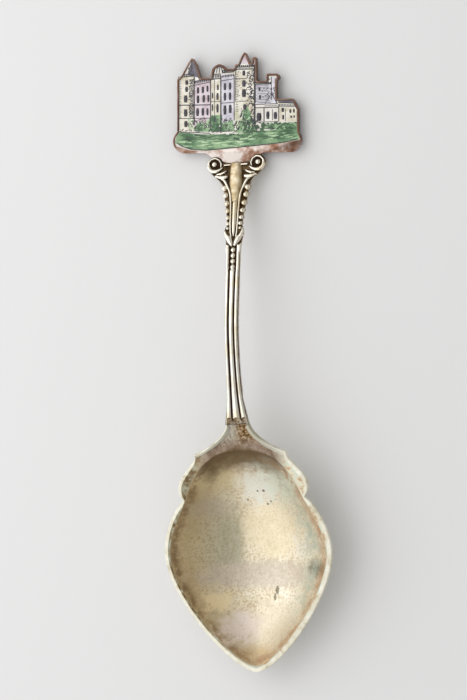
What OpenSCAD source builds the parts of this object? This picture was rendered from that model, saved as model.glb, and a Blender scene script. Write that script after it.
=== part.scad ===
// Souvenir spoon: a pressed bowl, a struck and reeded handle lapped and soldered on to it,
// and an enamelled copper badge of a castle soldered on to the handle's flat tab.
// The spoon lies face up. +Z is up, +Y runs from the bowl's tip to the badge.
// The origin is below the middle of the spoon's length, on the surface that it lies on.

/* [Bowl] */
// Length of the bowl, from its tip to its neck
bowl_l = 54; // [44:0.5:66]
// Width of the bowl at its widest
bowl_w = 37.2; // [31:0.2:45]
// Depth of the bowl below its rim, above its lowest point
bowl_depth = 8.7; // [6:0.1:11]
// Thickness of the bowl's metal
bowl_t = 1.1; // [0.8:0.05:1.6]
// Width of the polished rim
rim_w = 1.2; // [0.8:0.05:2]
// How much higher the rim is at the neck than at the tip
rim_rise = 5.5; // [3:0.1:8]

/* [Handle] */
// Length of the handle, from the bowl's neck to the foot of the badge
handle_l = 56.6; // [48:0.1:69]
// Width of the stem at its narrowest
stem_w = 3; // [2.5:0.05:3.7]
// Width of the handle's lower end, at the bowl's neck
neck_w = 5.2; // [4.3:0.1:6.3]
// Thickness of the stem
stem_t = 2.2; // [1.8:0.05:2.8]
// How far the stem's arch rises above the lap
arch_rise = 0.5; // [0.2:0.1:2]
// Depth of the two grooves between the reeds
groove_d = 0.4; // [0.2:0.05:0.7]
// Distance between the two grooves
groove_gap = 1.24; // [1:0.02:1.4]

/* [Finial] */
// Length of the finial, from its collar to the foot of the badge
finial_l = 15.3; // [12.5:0.1:18.5]
// Width of the finial across its two scrolls
finial_w = 13; // [11:0.1:15.5]
// Height of the finial's face at the scrolls above the table
finial_z = 3.3; // [2.8:0.1:4.2]
// Radius of each scroll
scroll_r = 1.7; // [1.4:0.05:1.9]
// Radius of the largest bead
bead_r = 0.62; // [0.45:0.01:0.75]

/* [Badge] */
// Width of the badge
badge_w = 29; // [24:0.2:34]
// Thickness of the badge's copper plate, at its rim
plate_t = 1.3; // [1:0.05:1.8]
// Width of the bare copper rim round the enamel
plate_rim = 0.35; // [0.25:0.05:0.6]
// Depth of the recess that holds the enamel
recess_d = 0.5; // [0.42:0.02:0.8]
// Thickness of the white ground enamel
ground_t = 0.3; // [0.2:0.02:0.35]
// Thickness of the painted colours
tint_t = 0.06; // [0.04:0.01:0.08]
// Thickness of the printed lines
line_t = 0.04; // [0.03:0.01:0.06]
// Turn of the badge on the handle, clockwise seen from the front
badge_turn = 3; // [-4:0.5:4]

/* [Joints] */
// Length of the lap where the handle lies on the bowl's tongue
lap_l = 6; // [5:0.1:7]
// Thickness of the solder in each joint
solder_t = 0.12; // [0.08:0.01:0.2]
// Length of the handle's tab behind the badge
tab_l = 8; // [6:0.1:10]
// Width of the handle's tab behind the badge
tab_w = 8; // [6.5:0.1:9.5]
// Thickness of the handle's tab
tab_t = 1; // [0.8:0.05:1.3]

/* [Hidden] */

// The badge is drawn 29 mm wide, and scaled to badge_w. The main tower's point is its highest.
drawn_badge_w = 29;
tower_top = [1.85, 24.4];
badge_scale = badge_w / drawn_badge_w;
badge_h = badge_scale * (tower_top[1] * cos(badge_turn) - tower_top[0] * sin(badge_turn));

// Places along the spoon.
total_l = bowl_l + handle_l + badge_h;
tip_y = -total_l / 2;
neck_y = tip_y + bowl_l;
lap_y = neck_y + lap_l;
foot_y = neck_y + handle_l;
collar_y = foot_y - finial_l;
beads_y = collar_y - 3.8;
reeds_y = collar_y - 8.1;

// Heights of the badge's layers.
plate_z = tab_t + solder_t;
ground_z = plate_z + plate_t - recess_d;
tint_z = ground_z + ground_t;
line_z = tint_z + tint_t;

// ---- Curves ----

// A smooth curve through knots [position, value], in rising order of position.
function knot(k, p, i = 0) = i >= len(k) - 2 || p < k[i + 1][0] ? i : knot(k, p, i + 1);
function slope(k, i) =
    let (a = max(i - 1, 0), b = min(i + 1, len(k) - 1))
    (k[b][1] - k[a][1]) / (k[b][0] - k[a][0]);
function smooth(k, p) =
    let (
        i = knot(k, p),
        span = k[i + 1][0] - k[i][0],
        t = min(max((p - k[i][0]) / span, 0), 1)
    )
    (2 * t ^ 3 - 3 * t ^ 2 + 1) * k[i][1] + (t ^ 3 - 2 * t ^ 2 + t) * span * slope(k, i)
    + (3 * t ^ 2 - 2 * t ^ 3) * k[i + 1][1] + (t ^ 3 - t ^ 2) * span * slope(k, i + 1);

// Points along a cubic curve with ends a and d, without its last point.
function curve(a, b, c, d, steps) = [
    for (i = [0 : steps - 1])
        let (t = i / steps)
        (1 - t) ^ 3 * a + 3 * t * (1 - t) ^ 2 * b + 3 * t ^ 2 * (1 - t) * c + t ^ 3 * d
];

// ---- Bowl ----

// The deepest point lies nearer the tip than the neck.
deep_from_neck = 0.53;
deep_y = neck_y - deep_from_neck * bowl_l;
wall_power = 2.3;
tongue_clear = 0.15;
heel_from_neck = 0.105;

// The rim lies in one sloping plane, which runs on through the lap.
function rim_z(y) = bowl_t + bowl_depth + (y - deep_y) * rim_rise / bowl_l;

// A point of the bowl's plan: its distance from the middle as a share of the half width,
// and its distance below the neck as a share of the bowl's length.
function at(across, down) = [across * bowl_w / 2, neck_y - down * bowl_l];

// The outline runs from the tongue down to the neck, out to a cusp, round a lobe to a notch,
// and round the flank to the pointed tip.
cusp = at(0.548, 0.114);
hook = at(0.568, 0.142);
notch = at(0.725, 0.298);
flank = at(1, 0.518);
tip = at(0, 1);
half_outline = concat(
    [[0, lap_y], [stem_w / 2 - tongue_clear, lap_y], [neck_w / 2 - tongue_clear, neck_y]],
    curve([neck_w / 2, neck_y], at(0.155, 0.038), at(0.34, 0.088), cusp, 9),
    curve(cusp, at(0.545, 0.125), at(0.55, 0.135), hook, 3),
    curve(hook, at(0.68, 0.19), at(0.86, 0.235), notch, 10),
    curve(notch, at(0.83, 0.325), at(1, 0.42), flank, 10),
    curve(flank, at(1, 0.68), at(0.34, 0.98), tip, 20),
    [tip]
);

// The hollow's edge is one smooth egg shape inside the outline, with a point for each of its points.
edge_w = 1 - 2 * rim_w / bowl_w;
heel = at(0, heel_from_neck);
edge_notch = at(0.705, 0.304);
edge_flank = at(edge_w, 0.522);
edge_tip = at(0, 1 - 1.2 * rim_w / bowl_l);
half_edge = concat(
    curve(heel, at(0.46, 0.1), at(0.62, 0.225), edge_notch, 25),
    curve(edge_notch, at(0.79, 0.36), at(edge_w, 0.44), edge_flank, 10),
    curve(edge_flank, at(edge_w, 0.68), at(0.3, 0.955), edge_tip, 20),
    [edge_tip]
);

// The left half is the right half's mirror image, without its two end points.
function whole(half) = concat(half, [for (i = [len(half) - 2 : -1 : 1]) [-half[i][0], half[i][1]]]);
outline = whole(half_outline);
edge = whole(half_edge);

// The floor of the hollow is an oval round the deepest point, which the wall blends into.
function oval(p) =
    let (
        v = p - [0, deep_y],
        along = (v[1] > 0 ? deep_from_neck - heel_from_neck : 1 - deep_from_neck) * bowl_l,
        across = edge_w * bowl_w / 2
    )
    v / norm([v[0] / across, v[1] / along]);

wall_rings = 11;
rim_rings = 3;

// One point of the bowl's upper face: ring 0 is the deepest point, and the last is the outline.
function bowl_point(i, ring) =
    let (
        centre = [0, deep_y],
        inner = edge[i],
        q = min(ring / wall_rings, 1),
        r = max(ring - wall_rings, 0) / rim_rings,
        reach = (1 - q ^ 2) * oval(inner) + q ^ 2 * (inner - centre),
        xy = centre + q * reach + r * (outline[i] - inner)
    )
    r > 0
        ? [xy[0], xy[1], rim_z(xy[1])]
        : [xy[0], xy[1], bowl_t + (rim_z(inner[1]) - bowl_t) * q ^ wall_power];

// Two matching faces, bowl_t apart, closed round the outline.
module bowl() {
    n = len(outline);
    rings = wall_rings + rim_rings;
    upper = [for (ring = [1 : rings], i = [0 : n - 1]) bowl_point(i, ring)];
    lower = [for (p = upper) p - [0, 0, bowl_t]];
    up = n * rings;
    centre = 2 * up;
    faces = concat(
        [for (i = [0 : n - 1]) let (j = (i + 1) % n) [centre, i, j]],
        [for (i = [0 : n - 1]) let (j = (i + 1) % n) [centre + 1, up + j, up + i]],
        [for (k = [0 : rings - 2], i = [0 : n - 1]) let (j = (i + 1) % n, a = k * n, b = a + n)
            each [[a + i, b + i, b + j], [a + i, b + j, a + j]]],
        [for (k = [0 : rings - 2], i = [0 : n - 1]) let (j = (i + 1) % n, a = up + k * n, b = a + n)
            each [[a + i, b + j, b + i], [a + i, a + j, b + j]]],
        [for (i = [0 : n - 1]) let (j = (i + 1) % n, a = up - n, b = 2 * up - n)
            each [[a + i, b + i, b + j], [a + i, b + j, a + j]]]
    );
    color([0.80, 0.76, 0.66])
        polyhedron(concat(upper, lower, [[0, deep_y, bowl_t], [0, deep_y, 0]]), faces);
}

// ---- Handle ----

// Height of the handle's face, its half width and its thickness, along the spoon.
lap_end_t = 0.6;
lap_t = stem_t - bowl_t - solder_t;
lap_z = rim_z(lap_y) + solder_t + lap_t;
arch_z = lap_z + arch_rise;
face_knots = [
    [neck_y, rim_z(neck_y) + solder_t + lap_end_t],
    [lap_y, lap_z],
    [neck_y + 15, arch_z],
    [neck_y + 22, arch_z - 0.6],
    [reeds_y, finial_z + (arch_z - finial_z) * 0.66],
    [collar_y, finial_z + (arch_z - finial_z) * 0.44],
    [collar_y + finial_l * 0.55, finial_z + (arch_z - finial_z) * 0.16],
    [foot_y, finial_z]
];
width_knots = [
    [neck_y, neck_w / 2],
    [neck_y + 3, neck_w * 0.22 + stem_w * 0.32],
    [lap_y, stem_w / 2 + 0.2],
    [neck_y + 12, stem_w / 2],
    [reeds_y, stem_w / 2],
    [collar_y - 5, stem_w / 2 + 0.03],
    [collar_y - 2.5, stem_w / 2 + 0.17],
    [collar_y, stem_w / 2 + 0.63],
    [collar_y + 1.3, stem_w / 2 + 0.44],
    [collar_y + finial_l * 0.18, finial_w * 0.158],
    [collar_y + finial_l * 0.48, finial_w * 0.213],
    [collar_y + finial_l * 0.62, finial_w * 0.236],
    [collar_y + finial_l * 0.69, finial_w * 0.25],
    [collar_y + finial_l * 0.83, finial_w * 0.39],
    [collar_y + finial_l * 0.95, finial_w * 0.495],
    [foot_y, finial_w / 2]
];
thickness_knots = [
    [lap_y, stem_t],
    [neck_y + 15, stem_t],
    [collar_y, stem_t],
    [foot_y - 2, stem_t - 0.1],
    [foot_y, stem_t + 0.2]
];

// ---- Relief on the handle's face, in millimetres above its ground ----

bead_count = 7;
bead_pitch = finial_l * 0.102;
stem_beads = 4;
stem_bead_r = 0.57;

// A row of beads climbs each side of the finial and grows towards the scrolls.
function side_bead(i) =
    let (y = collar_y + 0.6 + i * bead_pitch)
    [smooth(width_knots, y) - bead_r - 0.12 * i / bead_count, y, bead_r * (0.5 + 0.5 * i / (bead_count - 1))];
function bead_height(x, y, b) =
    let (d = norm([abs(x) - b[0], y - b[1]]))
    d < b[2] ? sqrt(b[2] ^ 2 - d ^ 2) : 0;
side_beads = [for (i = [0 : bead_count - 1]) side_bead(i)];
middle_beads = [for (i = [0 : stem_beads - 1]) [0, beads_y - i * 2.15 * stem_bead_r, stem_bead_r]];

// A tapering column runs up the middle of the finial between two thin ridges.
column_knots = [
    [collar_y - 1, 0.12],
    [collar_y + finial_l * 0.45, 0.5],
    [collar_y + finial_l * 0.5, 0.8],
    [foot_y, 1.4]
];
ridge_knots = [
    [collar_y - 0.6, 0.75],
    [collar_y + finial_l * 0.3, 0.82],
    [collar_y + finial_l * 0.57, 1.22],
    [collar_y + finial_l * 0.68, 1.95],
    [foot_y, 3]
];
finial_depth = 0.45;
ridge_r = 0.2;
function column_height(x, y) =
    let (w = smooth(column_knots, y))
    abs(x) < w ? 0.35 + 0.15 * (1 - (x / w) ^ 2) : 0;
function ridge_height(x, y) =
    let (d = abs(abs(x) - smooth(ridge_knots, y)))
    d < ridge_r ? 0.5 * (1 - d / ridge_r) : 0;

// Two leaves meet over the collar.
function leaf_height(x, y) =
    let (
        u = (abs(x) - 0.95) * 0.83 + (y - collar_y + 0.5) * 0.55,
        v = (y - collar_y + 0.5) * 0.83 - (abs(x) - 0.95) * 0.55,
        d = norm([u / 0.6, v / 1.15])
    )
    d < 1 ? 0.5 * sqrt(1 - d ^ 2) : 0;

// Three reeds, cut apart by two grooves that stop short of the bowl's neck.
groove_half_w = 0.17;
function groove_cut(x, y) =
    let (
        spread = 1 + max(0, (neck_y + 9 - y) / 9) ^ 2 * 0.8,
        d = abs(abs(x) - groove_gap / 2 * spread)
    )
    d < groove_half_w && y > neck_y + 0.3 ? groove_d * (1 - d / groove_half_w) : 0;

function relief(x, y) =
    y < reeds_y ? -groove_cut(x, y)
    : let (
        ground = -finial_depth,
        beads = max([for (b = concat(side_beads, middle_beads)) bead_height(x, y, b)]),
        raised = y > collar_y - 0.6 ? max(column_height(x, y), ridge_height(x, y)) : 0,
        edge = y < collar_y && abs(x) > stem_w * 0.32 ? 0.4 : 0
    )
    ground + max(beads, raised, leaf_height(x, y), edge);

columns = 22;

// Steps along the handle: close together where the face is carved.
handle_steps = concat(
    [neck_y, neck_y + lap_l / 3, neck_y + lap_l * 2 / 3, lap_y, lap_y + 0.01],
    [for (i = [1 : 14]) lap_y + (reeds_y - lap_y) * i / 15],
    [for (i = [0 : 68]) reeds_y + (foot_y - reeds_y) * i / 68]
);

// The edges of the face are rounded off.
function face_point(y, a) =
    let (x = a * smooth(width_knots, y))
    [x, y, smooth(face_knots, y) - 0.45 * abs(a) ^ 6 + relief(x, y)];

// The back is flat on the lap and under the finial, and rounded along the stem.
back_crown = 0.5;
function back_point(y, a) =
    let (
        x = a * smooth(width_knots, y),
        crown = back_crown * a ^ 2 * (y < collar_y ? 1 : max(0, 1 - (y - collar_y) / 4)),
        back = smooth(face_knots, y) - smooth(thickness_knots, y) + crown
    )
    [x, y, y <= lap_y ? rim_z(y) + solder_t : max(back, 0)];

module handle_blank() {
    n = columns + 1;
    upper = [for (y = handle_steps, j = [0 : columns]) face_point(y, 2 * j / columns - 1)];
    lower = [for (y = handle_steps, j = [0 : columns]) back_point(y, 2 * j / columns - 1)];
    low = len(upper);
    last = len(handle_steps) - 1;
    faces = concat(
        [for (k = [0 : last - 1], j = [0 : columns - 1]) let (a = k * n + j, b = a + n)
            each [[a, b, b + 1], [a, b + 1, a + 1]]],
        [for (k = [0 : last - 1], j = [0 : columns - 1]) let (a = low + k * n + j, b = a + n)
            each [[a, b + 1, b], [a, a + 1, b + 1]]],
        [for (k = [0 : last - 1]) let (a = k * n, b = a + n)
            each [[a, low + a, low + b], [a, low + b, b]]],
        [for (k = [0 : last - 1]) let (a = k * n + columns, b = a + n)
            each [[a, low + b, low + a], [a, b, low + b]]],
        [for (j = [0 : columns - 1]) each [[j, j + 1, low + j + 1], [j, low + j + 1, low + j]]],
        [for (j = [0 : columns - 1]) let (a = last * n + j)
            each [[a, low + a + 1, a + 1], [a, low + a, low + a + 1]]]
    );
    polyhedron(concat(upper, lower), faces);
}

// Each scroll is a round roll with a raised eye in a sunk ring.
scroll_y = foot_y - 0.15;
module scroll(side) {
    translate([side * (finial_w / 2 - scroll_r), scroll_y, finial_z - stem_t + 0.2]) {
        difference() {
            cylinder(h = stem_t, r = scroll_r, $fn = 48);
            translate([0, 0, stem_t - 0.5])
                cylinder(h = 1, r = scroll_r * 0.68, $fn = 48);
        }
        cylinder(h = stem_t + 0.1, r = scroll_r * 0.34, $fn = 32);
    }
}

module handle() {
    color([0.82, 0.79, 0.70])
        difference() {
            union() {
                handle_blank();
                scroll(1);
                scroll(-1);
                translate([-tab_w / 2, foot_y - 1, 0])
                    cube([tab_w, tab_l + 1, tab_t]);
            }
            // The seat that the badge drops into.
            translate([0, 0, tab_t])
                linear_extrude(finial_z + stem_t)
                    badge_place()
                        offset(delta = solder_t)
                            badge_outline();
        }
}

// ---- Solder ----

// A flat film that follows the lap's slope.
module bowl_solder() {
    half = stem_w / 2 - tongue_clear;
    low_half = neck_w / 2 - 2 * tongue_clear;
    corners = [[-low_half, neck_y], [low_half, neck_y], [half, lap_y], [-half, lap_y]];
    points = [for (h = [0, solder_t], c = corners) [c[0], c[1], rim_z(c[1]) + h]];
    color([0.62, 0.60, 0.56])
        polyhedron(points, [
            [0, 1, 2, 3], [7, 6, 5, 4], [0, 4, 5, 1], [1, 5, 6, 2], [2, 6, 7, 3], [3, 7, 4, 0]
        ]);
}

// A film between the tab and the badge, turned up round the badge's foot.
module badge_solder() {
    color([0.62, 0.60, 0.56]) {
        translate([0, 0, tab_t])
            linear_extrude(solder_t)
                intersection() {
                    badge_place() badge_outline();
                    translate([-tab_w / 2, foot_y - 1])
                        square([tab_w, tab_l + 1]);
                }
        translate([0, 0, tab_t])
            linear_extrude(plate_t - 0.4)
                intersection() {
                    badge_place()
                        difference() {
                            offset(delta = solder_t) badge_outline();
                            badge_outline();
                        }
                    translate([-tab_w / 2, foot_y - 1])
                        square([tab_w, 3]);
                }
    }
}

// ---- Badge ----

// The badge is drawn with its foot at [0, 0] and its towers along +Y.
module badge_place() {
    translate([0, foot_y])
        rotate(-badge_turn)
            scale(badge_scale)
                children();
}

// A box from one corner to the other.
module block(x0, y0, x1, y1) {
    translate([x0, y0])
        square([x1 - x0, y1 - y0]);
}

module castle() {
    // Corner tower and its bullet-shaped roof
    block(-13.5, 5, -8.2, 18.7);
    polygon([[-13, 18.6], [-12.3, 19.6], [-11, 22], [-10.1, 23.3], [-9.1, 21.8], [-8.6, 20.1], [-8.1, 18.5]]);
    // Hall, domed turret and the wall beyond it
    block(-8.3, 5, -5.6, 18.7);
    block(-5.7, 5, -2.2, 19.5);
    translate([-3.9, 19.4])
        scale([1.75, 2.2])
            circle(1, $fn = 48);
    block(-2.4, 5, -0.3, 20.5);
    // Main tower with its parapet, cone roof and stair pinnacle
    block(-0.45, 5, 4.5, 21.5);
    polygon([[0.3, 21.4], [1, 23.05], tower_top, [2.4, 23.15], [3.2, 21.4]]);
    block(3.5, 20, 4.5, 22.6);
    translate([4, 22.5])
        circle(0.5, $fn = 32);
    // Rear block, chimney and low wing
    block(4.4, 5, 9, 17.7);
    block(6.7, 17, 9, 19.3);
    block(8.8, 18, 9.6, 19.1);
    polygon([[8.9, 5], [13.9, 5], [13.9, 11.6], [13.5, 12.4], [12.7, 13.8], [8.9, 13.8]]);
}

module lawn_base() {
    lobe_r = 2.6;
    foot_r = 10.4;
    hull() {
        translate([-11.85, 4.9]) circle(lobe_r, $fn = 48);
        translate([11.9, 4.8]) circle(lobe_r, $fn = 48);
    }
    // The foot bulges down to meet the handle.
    intersection() {
        translate([-0.5, foot_r]) circle(foot_r, $fn = 96);
        block(-8, 0, 7, 4);
    }
}

corner_r = 0.25;
module badge_outline() {
    offset(r = -corner_r)
        offset(r = 2 * corner_r)
            offset(delta = -corner_r) {
                castle();
                lawn_base();
            }
}

// The enamel stops short of the foot, which is bare metal.
module enamel_area() {
    intersection() {
        offset(delta = -plate_rim / badge_scale) badge_outline();
        polygon([
            [-15, 4.2], [-12.7, 3.5], [-10.6, 2.9], [-7, 2.7], [2, 3.4], [10.7, 4.2], [15, 5],
            [15, 25], [-15, 25]
        ]);
    }
}

// ---- The picture: fields of colour on the white ground, with a printed drawing over them ----

// Two fields never touch: a hairline parts them.
hairline = 0.02;

module lawn_field() {
    polygon([[-15, 0], [15, 0], [15, 8.2], [9, 8], [5, 6.8], [-1, 6.2], [-15, 6.6]]);
}

module shrub_field() {
    // Each shrub is [x, y, radius].
    shrubs = [
        [-9.8, 7.6, 1.1], [-8, 7.4, 1.2], [-4.6, 8, 1.4], [-2.6, 7.4, 0.9],
        [1.4, 9.2, 1.9], [-0.6, 7.6, 1.1], [3.8, 7.6, 1.4]
    ];
    for (s = shrubs)
        translate([s[0], s[1]])
            circle(s[2], $fn = 32);
}

module slate_field() {
    block(-13.2, 18.8, -8, 24);
    block(-5.7, 20, -2, 22);
    block(0.2, 21.6, 3.4, 25);
    block(4.5, 11, 7.6, 17.8);
    block(9.2, 12.4, 14.5, 14);
}

module rose_field() {
    block(-9.7, 6, -5.9, 18.8);
    block(-3.6, 6, -0.6, 20.6);
}

// A thin layer of one field of the picture, between two heights.
module layer(z, t, rgb) {
    color(rgb)
        translate([0, 0, z])
            linear_extrude(t)
                badge_place()
                    offset(delta = -hairline / 2)
                        intersection() {
                            enamel_area();
                            children();
                        }
}

module badge_plate() {
    color([0.62, 0.38, 0.24])
        difference() {
            translate([0, 0, plate_z])
                linear_extrude(plate_t)
                    badge_place() badge_outline();
            translate([0, 0, ground_z])
                linear_extrude(plate_t)
                    badge_place() enamel_area();
        }
}

module enamel_ground() {
    color([0.92, 0.90, 0.86])
        translate([0, 0, ground_z])
            linear_extrude(ground_t)
                badge_place() enamel_area();
}

module enamel_lawn() {
    layer(tint_z, tint_t, [0.30, 0.50, 0.30])
        lawn_field();
}

module enamel_shrubs() {
    layer(tint_z, tint_t, [0.28, 0.42, 0.30])
        difference() {
            shrub_field();
            lawn_field();
        }
}

module enamel_slate() {
    layer(tint_z, tint_t, [0.55, 0.54, 0.58])
        difference() {
            slate_field();
            shrub_field();
            lawn_field();
        }
}

module enamel_rose() {
    layer(tint_z, tint_t, [0.84, 0.74, 0.80])
        difference() {
            rose_field();
            slate_field();
            shrub_field();
            lawn_field();
        }
}

module enamel_sandstone() {
    layer(tint_z, tint_t, [0.88, 0.84, 0.68])
        difference() {
            block(-15, 0, 15, 25);
            slate_field();
            rose_field();
            shrub_field();
            lawn_field();
        }
}

// A window with a round head.
module window(w, h) {
    translate([-w / 2, 0])
        square([w, h - w / 2]);
    translate([0, h - w / 2])
        circle(w / 2, $fn = 24);
}

// Printed lines: the edges of the towers, string courses and rows of windows.
line_w = 0.22;
window_w = 0.6;
window_h = 1.5;
module enamel_keyline() {
    // Each upright is [x, foot, head].
    uprights = [[-9.7, 8.8, 18.7], [-5.9, 9, 18.4], [-3.7, 9.5, 19.6], [-0.6, 9, 20.5], [4.1, 9.4, 21]];
    // Each course is [first x, last x, y].
    courses = [
        [-13.2, -5.7, 12.8], [-13.2, -11, 9.9], [-13, -9.8, 18.9], [-9.6, -0.7, 18.1],
        [-0.5, 4, 20.9], [-0.5, 4, 13.6], [4.2, 13.7, 11.9]
    ];
    // Each row of windows is [first x, y, pitch, count].
    rows = [
        [-11.5, 17, 1, 1], [-11.5, 15.2, 1, 1], [-11.5, 13.3, 1, 1], [-11.5, 10.4, 1, 1],
        [-8.8, 15.4, 1.1, 3], [-8.8, 13.3, 1.1, 3], [-8.8, 10.7, 1.1, 3],
        [-2.8, 15.9, 1.3, 2], [-2.8, 13.8, 1.3, 2], [-2.8, 10.7, 1.3, 2],
        [-4.7, 15.9, 1, 1], [-4.7, 13.8, 1, 1],
        [1.6, 18.6, 1, 1], [1.6, 16.5, 1, 1], [1.6, 14.2, 1, 1],
        [5.5, 14, 1.3, 2], [7.8, 9.3, 1.6, 2], [11.4, 9.3, 1.2, 2]
    ];
    layer(line_z, line_t, [0.16, 0.15, 0.20]) {
        for (u = uprights)
            block(u[0] - line_w / 2, u[1], u[0] + line_w / 2, u[2]);
        for (c = courses)
            block(c[0], c[2] - line_w / 2, c[1], c[2] + line_w / 2);
        for (r = rows, i = [0 : r[3] - 1])
            translate([r[0] + i * r[2], r[1]])
                window(window_w, window_h);
    }
}

bowl();
bowl_solder();
handle();
badge_solder();
badge_plate();
enamel_ground();
enamel_sandstone();
enamel_rose();
enamel_slate();
enamel_lawn();
enamel_shrubs();
enamel_keyline();
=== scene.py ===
"""A silver-plated souvenir jam spoon with an enamelled castle badge, lying face up on a pale table."""
import math
import random

import bmesh
import bpy
from mathutils import Matrix, Vector


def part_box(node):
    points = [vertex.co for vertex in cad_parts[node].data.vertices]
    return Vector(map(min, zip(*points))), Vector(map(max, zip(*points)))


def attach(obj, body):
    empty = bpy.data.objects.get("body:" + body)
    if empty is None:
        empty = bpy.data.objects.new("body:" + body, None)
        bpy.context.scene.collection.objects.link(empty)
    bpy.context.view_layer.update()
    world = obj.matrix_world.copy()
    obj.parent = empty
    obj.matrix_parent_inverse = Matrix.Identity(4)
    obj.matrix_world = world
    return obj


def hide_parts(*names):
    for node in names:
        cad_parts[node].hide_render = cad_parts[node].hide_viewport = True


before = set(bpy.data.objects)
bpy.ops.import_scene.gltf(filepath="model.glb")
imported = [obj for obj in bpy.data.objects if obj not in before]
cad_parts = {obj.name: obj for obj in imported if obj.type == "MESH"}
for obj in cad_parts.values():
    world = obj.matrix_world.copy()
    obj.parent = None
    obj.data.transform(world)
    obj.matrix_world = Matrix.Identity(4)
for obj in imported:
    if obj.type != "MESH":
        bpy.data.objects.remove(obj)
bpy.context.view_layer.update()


# ---- Bowl ----
# Pressed from thin nickel-silver sheet and silver plated. The flat rim is rubbed bright, and the hollow
# keeps the straw, brown and faint blue tarnish of old plate. A tongue at its neck runs under the handle.

# Sizes are in millimetres. Those that can be read from the CAD are, and the others are its own values.
MM = 0.001
bowl_low, bowl_high = (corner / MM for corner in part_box("bowl"))
neck_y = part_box("handle")[0].y / MM
tip_y = bowl_low.y
lap_y = bowl_high.y
half_w = bowl_high.x
bowl_l = neck_y - tip_y
bowl_t = 1.1
bowl_depth = 8.7
rim_rise = 5.5
rim_w = 1.2
deep_down = 0.53
deep_y = neck_y - deep_down * bowl_l
wall_power = 2.3
heel_down = 0.105
neck_half_w = 2.6
stem_half_w = 1.5
tongue_clear = 0.15


def rim_z(y):
    """The height of the rim, which climbs from the tip to the neck."""
    return bowl_t + bowl_depth + (y - deep_y) * rim_rise / bowl_l


def at(across, down):
    """A point of the plan: a share of the half width, and of the length below the neck."""
    return Vector((across * half_w, neck_y - down * bowl_l))


def arc(a, b, c, d, steps):
    """Points along a cubic curve, without its last one."""
    shares = [i / steps for i in range(steps)]
    return [(1 - t) ** 3 * a + 3 * t * (1 - t) ** 2 * b + 3 * t * t * (1 - t) * c + t ** 3 * d
            for t in shares]


# The right half of the outline, from the tongue down, and of the hollow's edge inside it.
cusp, hook, notch = at(0.548, 0.114), at(0.568, 0.142), at(0.725, 0.298)
flank, tip = at(1, 0.518), at(0, 1)
half_outline = (
    [Vector((x * (stem_half_w - tongue_clear), lap_y)) for x in (0, 0.5, 1)]
    + [Vector((neck_half_w - tongue_clear, neck_y))]
    + arc(Vector((neck_half_w, neck_y)), at(0.155, 0.038), at(0.34, 0.088), cusp, 24)
    + arc(cusp, at(0.545, 0.125), at(0.55, 0.135), hook, 5)
    + arc(hook, at(0.68, 0.19), at(0.86, 0.235), notch, 22)
    + arc(notch, at(0.83, 0.325), at(1, 0.42), flank, 24)
    + arc(flank, at(1, 0.68), at(0.34, 0.98), tip, 44)
    + [tip]
)
edge_w = 1 - rim_w / half_w
edge_notch, edge_flank = at(0.705, 0.304), at(edge_w, 0.522)
edge_tip = at(0, 1 - 1.2 * rim_w / bowl_l)
half_edge = (
    arc(at(0, heel_down), at(0.46, 0.1), at(0.62, 0.225), edge_notch, 55)
    + arc(edge_notch, at(0.79, 0.36), at(edge_w, 0.44), edge_flank, 24)
    + arc(edge_flank, at(edge_w, 0.68), at(0.24, 0.974), edge_tip, 44)
    + [edge_tip]
)


def whole(half):
    """Both halves of a plan, from its right half."""
    return half + [Vector((-p.x, p.y)) for p in half[-2:0:-1]]


outline, edge = whole(half_outline), whole(half_edge)
deep = Vector((0, deep_y))
inward = [(b - a).normalized() for a, b in zip(outline, edge)]
# Down the neck and the first shoulder the rim lies square to the outline. Over the last spokes there it
# turns toward the hollow's edge.
neck_spoke, shoulder_spoke, turning_spokes = 4, 30, 8
for i in range(neck_spoke, shoulder_spoke):
    along = (outline[i + 1] - outline[i - 1]).normalized()
    share = min(1, (shoulder_spoke - i) / turning_spokes)
    inward[i] = (share * Vector((along.y, -along.x)) + (1 - share) * inward[i]).normalized()
    inward[-i] = Vector((-inward[i].x, inward[i].y))


def oval(p):
    """The floor's round plan, in the direction of p from the deepest point."""
    v = p - deep
    along = (deep_down - heel_down if v.y > 0 else 1 - deep_down) * bowl_l
    return v / math.hypot(v.x / (edge_w * half_w), v.y / along)


def hollow_point(i, q):
    """A point of the hollow at spoke i, from the deepest point at q = 0 to the rim at q = 1."""
    inner = edge[i]
    xy = deep + q * ((1 - q * q) * oval(inner) + q * q * (inner - deep))
    return Vector((xy.x, xy.y, bowl_t + (rim_z(inner.y) - bowl_t) * q ** wall_power))


fade_end, fade_spokes = 34, 12


def neck_share(i):
    """How far spoke i belongs to the neck: 1 there, 0 from the first shoulder on."""
    return min(max((fade_end - min(i, len(outline) - i)) / fade_spokes, 0), 1)


# The neck's lip: its height, its width, and how far in its foot lies.
lip_h, lip_w, lip_foot = 0.36, 1.06, 1.05


def rim_point(i, inset, drop):
    """A point of the rim, inset from the outline and dropped below it. A lip stands up at the neck."""
    inset = min(inset, 0.85 * (edge[i] - outline[i]).length)
    xy = outline[i] + inset * inward[i]
    lift = lip_h * neck_share(i) * min(max((neck_y + 0.2 - xy.y) / 0.4, 0), 1)
    lift *= min(inset / 0.22, 1, (lip_w - inset) / 0.7) if drop < 0.1 else 0
    return Vector((xy.x, xy.y, rim_z(xy.y) - drop + max(lift, 0)))


def flat_point(i, share):
    """A point of the rim's flat, from the hollow's edge at 0 to the foot of the lip at 1."""
    foot = rim_point(i, lip_foot, 0)
    xy = edge[i] + share * (foot.xy - edge[i])
    return Vector((xy.x, xy.y, rim_z(xy.y)))


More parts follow.
